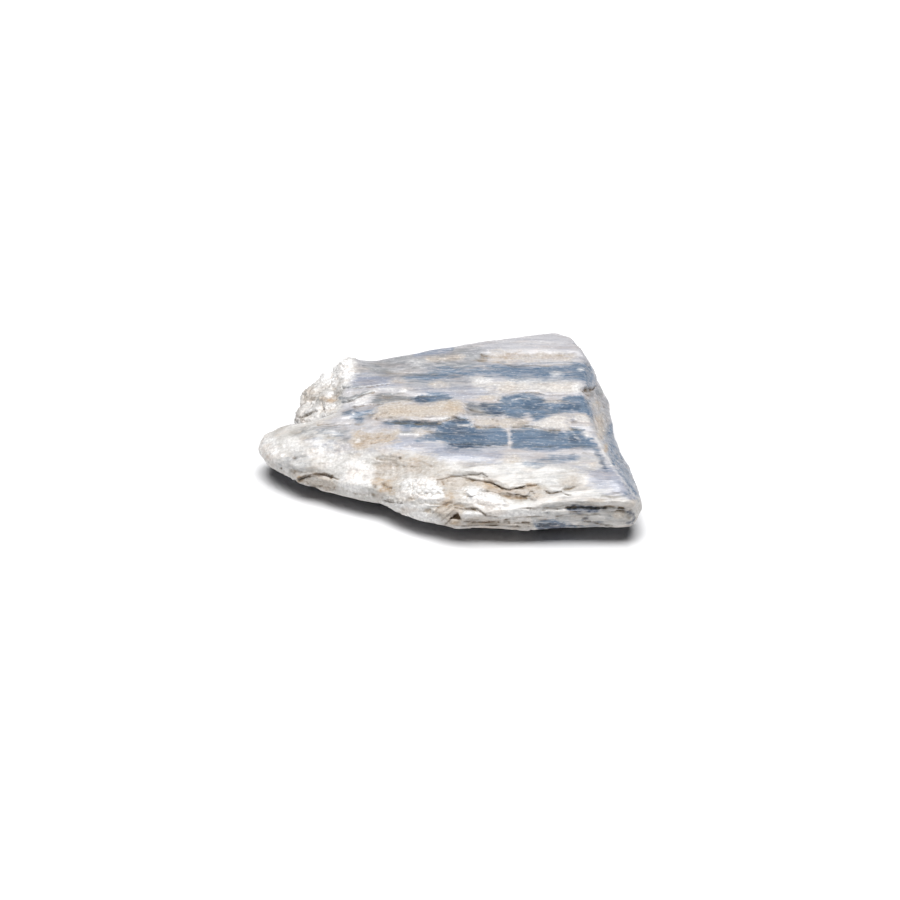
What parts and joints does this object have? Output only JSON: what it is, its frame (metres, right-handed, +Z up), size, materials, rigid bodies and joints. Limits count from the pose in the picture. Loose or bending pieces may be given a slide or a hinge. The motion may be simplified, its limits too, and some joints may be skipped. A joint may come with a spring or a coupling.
{
  "type": "kyanite stone",
  "caption": "Loose broken slab of bladed blue kyanite with a pale worn front edge, lying on its flat cleavage face.",
  "frame": {"origin": "on the surface that the stone rests on, under the middle of the box of its footprint", "axes": "+X along the blades, towards the sloping break across them; +Y away from the worn front edge; +Z up"},
  "size_m": [0.0548, 0.0446, 0.0102],
  "materials": {
    "kyanite": "bladed blue and white kyanite, pearly on its cleavage faces and dull where it is worn or broken"
  },
  "bodies": {
    "root": {"kyanite_stone": "kyanite"}
  },
  "joints": []
}
